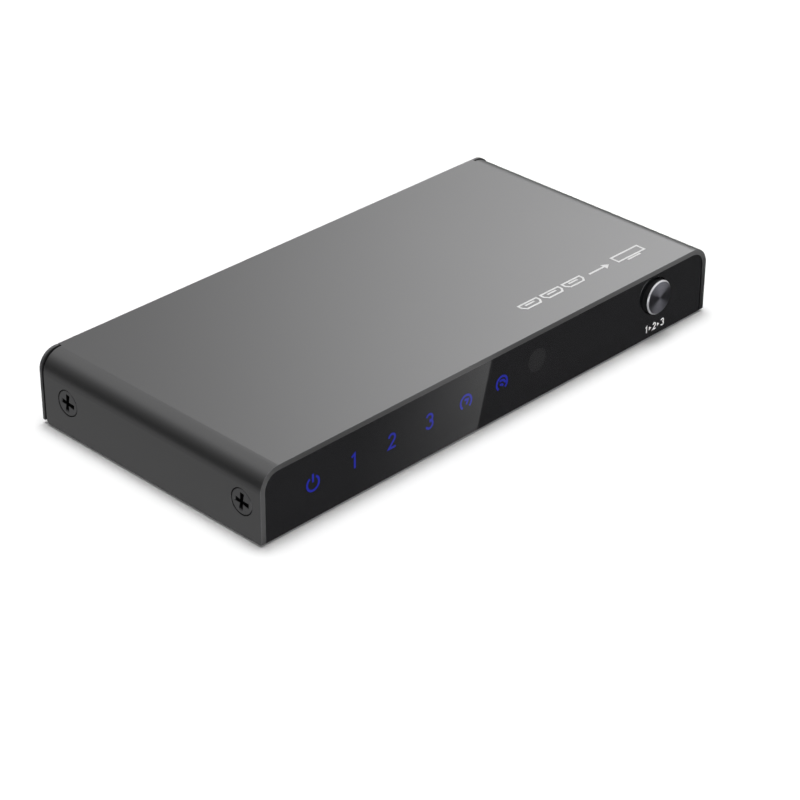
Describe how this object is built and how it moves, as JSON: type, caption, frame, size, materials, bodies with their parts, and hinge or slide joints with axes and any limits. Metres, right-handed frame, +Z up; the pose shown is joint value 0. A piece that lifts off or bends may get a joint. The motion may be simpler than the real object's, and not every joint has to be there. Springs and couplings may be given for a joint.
{
  "type": "video switch box",
  "caption": "Low video switch box: dark aluminium cover with round edges, black front panel with lit signs, infrared window and push button, video sockets at the rear.",
  "frame": {"origin": "on the ground under the middle of the case", "axes": "+X to the right seen from the front, +Y to the rear, +Z up; the front faces -Y"},
  "size_m": [0.14, 0.0709, 0.0175],
  "materials": {
    "cover_aluminium": "satin, bead blasted and anodised dark grey",
    "sheet_steel": "satin powder coat",
    "black_acrylic": "polished black",
    "adhesive": "dull black sheet",
    "screw_steel": "dark grey plate",
    "zinc_steel": "bright zinc plate",
    "black_plastic": "moulded black",
    "lamp_resin": "clear lens on white resin",
    "ir_resin": "dark infrared resin",
    "cap_aluminium": "spun face, polished chamfer",
    "board_laminate": "green solder mask",
    "socket_steel": "nickel plate",
    "socket_plastic": "moulded black",
    "contact_gold": "gold flash",
    "chip_resin": "moulded epoxy",
    "pad_rubber": "soft grey pad",
    "sink_aluminium": "black anodised",
    "ferrite": "dull ferrite",
    "can_aluminium": "bare can",
    "can_steel": "bare lid",
    "clear_acrylic": "clear light pipe",
    "foot_rubber": "dull black rubber"
  },
  "bodies": {
    "case": {"top_cover": "cover_aluminium", "base_tray": "sheet_steel", "front_panel": "black_acrylic", "panel_adhesive": "adhesive", "case_screws": "screw_steel", "clinch_nuts": "zinc_steel", "light_shield": "black_plastic", "indicator_lamps": "lamp_resin", "ir_receiver": "ir_resin", "tact_switch": "black_plastic", "circuit_board": "board_laminate", "board_standoffs": "zinc_steel", "board_screws": "zinc_steel", "power_shell": "socket_steel", "power_tongue": "socket_plastic", "power_contacts": "contact_gold", "switch_chip": "chip_resin", "thermal_pad": "pad_rubber", "heat_sink": "sink_aluminium", "controller_chip": "chip_resin", "regulator_chip": "chip_resin", "power_inductor": "ferrite", "capacitors": "can_aluminium", "crystal": "can_steel", "light_pipe_1": "clear_acrylic", "light_pipe_2": "clear_acrylic", "light_pipe_3": "clear_acrylic", "light_pipe_4": "clear_acrylic", "light_pipe_5": "clear_acrylic", "light_pipe_6": "clear_acrylic", "input_1_shell": "socket_steel", "input_1_insert": "socket_plastic", "input_1_contacts": "contact_gold", "input_2_shell": "socket_steel", "input_2_insert": "socket_plastic", "input_2_contacts": "contact_gold", "input_3_shell": "socket_steel", "input_3_insert": "socket_plastic", "input_3_contacts": "contact_gold", "output_shell": "socket_steel", "output_insert": "socket_plastic", "output_contacts": "contact_gold", "rubber_foot_1": "foot_rubber", "rubber_foot_2": "foot_rubber", "rubber_foot_3": "foot_rubber", "rubber_foot_4": "foot_rubber"},
    "select_button": {"button_cap": "cap_aluminium", "button_plunger": "black_plastic", "tact_stem": "black_plastic"}
  },
  "joints": [
    {"name": "select_press", "type": "slide", "parent": "case", "child": "select_button", "axis": [0, 1, 0], "range_m": [0, 0.00035], "stiffness_N_per_m": 200, "springref_m": -0.002}
  ]
}
